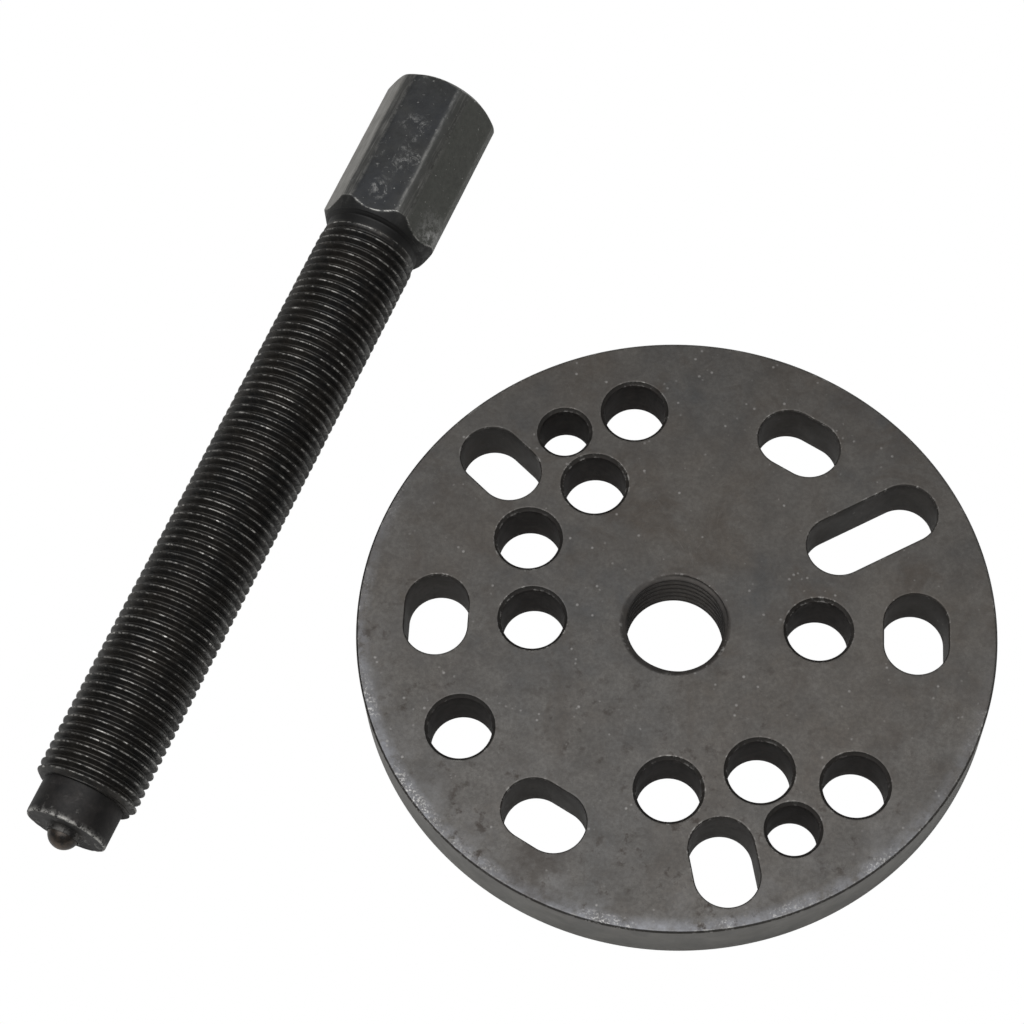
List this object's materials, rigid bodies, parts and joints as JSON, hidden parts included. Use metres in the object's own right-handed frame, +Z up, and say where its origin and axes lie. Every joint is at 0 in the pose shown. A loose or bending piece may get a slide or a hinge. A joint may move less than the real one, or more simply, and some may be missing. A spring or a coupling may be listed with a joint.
{
  "type": "flywheel puller",
  "caption": "Slotted round puller plate with a tapped centre, and its loose hex-headed forcing screw with a captive thrust ball in the nose.",
  "frame": {"origin": "middle of the set's footprint, on the surface that the plate and the screw lie on", "axes": "+Z up, square to the plate's faces; the plate's pattern of holes is symmetrical about the line 30 degrees from +X towards +Y; the screw lies beside the plate, its head end 70 degrees from +X towards +Y"},
  "size_m": [0.1408, 0.1406, 0.0177],
  "materials": {
    "black_oxide_plate": "black oxide on ground steel, mottled dark grey, lightly worn at the edges",
    "black_oxide_screw": "oiled black oxide, scuffed to bare steel on crests and edges",
    "hardened_ball": "dark polished hardened steel with a rubbed tip"
  },
  "bodies": {
    "puller_plate": {"puller_plate": "black_oxide_plate"},
    "thrust_ball": {"thrust_ball": "hardened_ball"},
    "forcing_screw": {"forcing_screw": "black_oxide_screw"}
  },
  "joints": [
    {"name": "screw_advance", "type": "slide", "parent": "puller_plate", "child": "thrust_ball", "axis": [-0.342, -0.9397, -0.0078], "range_m": [0, 0.09031]},
    {"name": "screw_turn", "type": "hinge", "parent": "thrust_ball", "child": "forcing_screw", "pos_m": [-0.06463, -0.05939, 0.00789], "axis": [-0.342, -0.9397, -0.0078], "range_deg": [0, 23040]}
  ],
  "couplings": [
    {"joint": "screw_turn", "follows": "screw_advance", "rad_per_m": 4452.7}
  ]
}
